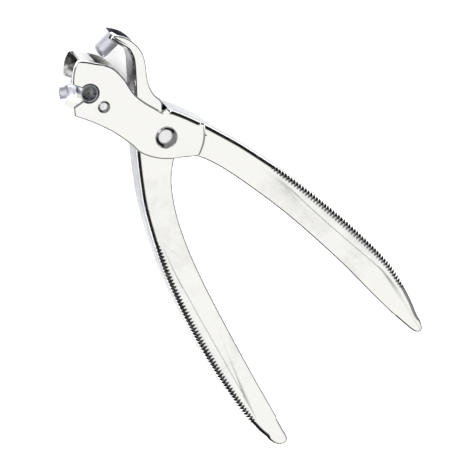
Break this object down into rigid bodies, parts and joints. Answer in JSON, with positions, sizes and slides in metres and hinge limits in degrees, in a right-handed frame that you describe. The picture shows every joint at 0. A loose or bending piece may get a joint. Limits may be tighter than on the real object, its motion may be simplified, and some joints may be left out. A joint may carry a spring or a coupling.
{
  "type": "snap setter pliers",
  "caption": "Hand pliers for setting snap fasteners: crossed sheet-steel levers, a hooked upper jaw with a round die, and a swinging setter post at the nose.",
  "frame": {"origin": "on the pivot axis, at the flat end of the pivot rivet that the pliers lie on", "axes": "+Z along the pivot axis, away from the surface the pliers lie on; +X from the nose to the handles, along the lower lever; +Y to the side of the upper jaw"},
  "size_m": [0.1701, 0.0831, 0.0173],
  "materials": {
    "polished_nickel": "polished nickel plate on sheet steel",
    "plain_steel": "turned or drawn steel, lightly plated"
  },
  "bodies": {
    "lower": {"lower_lever": "polished_nickel", "pivot_rivet": "polished_nickel", "pivot_bush": "plain_steel", "return_spring": "plain_steel", "nose_rivet": "polished_nickel", "nose_spacer": "plain_steel", "detent_spring": "plain_steel"},
    "upper_jaw": {"upper_lever": "polished_nickel", "upper_die": "polished_nickel", "die_rivet": "plain_steel", "die_snap_ring": "plain_steel"},
    "post": {"setter_post": "plain_steel", "post_sleeve": "plain_steel"}
  },
  "joints": [
    {"name": "jaw_hinge", "type": "hinge", "parent": "lower", "child": "upper_jaw", "pos_m": [0, 0, 0.0085], "axis": [0, 0, 1], "range_deg": [0, 4.2], "stiffness_Nm_per_rad": 0.09, "springref_deg": -45.84, "deforming": ["return_spring"]},
    {"name": "post_swing", "type": "hinge", "parent": "lower", "child": "post", "pos_m": [-0.0327, -0.0043, 0.0085], "axis": [0, 0, 1], "range_deg": [-66, 12]}
  ]
}
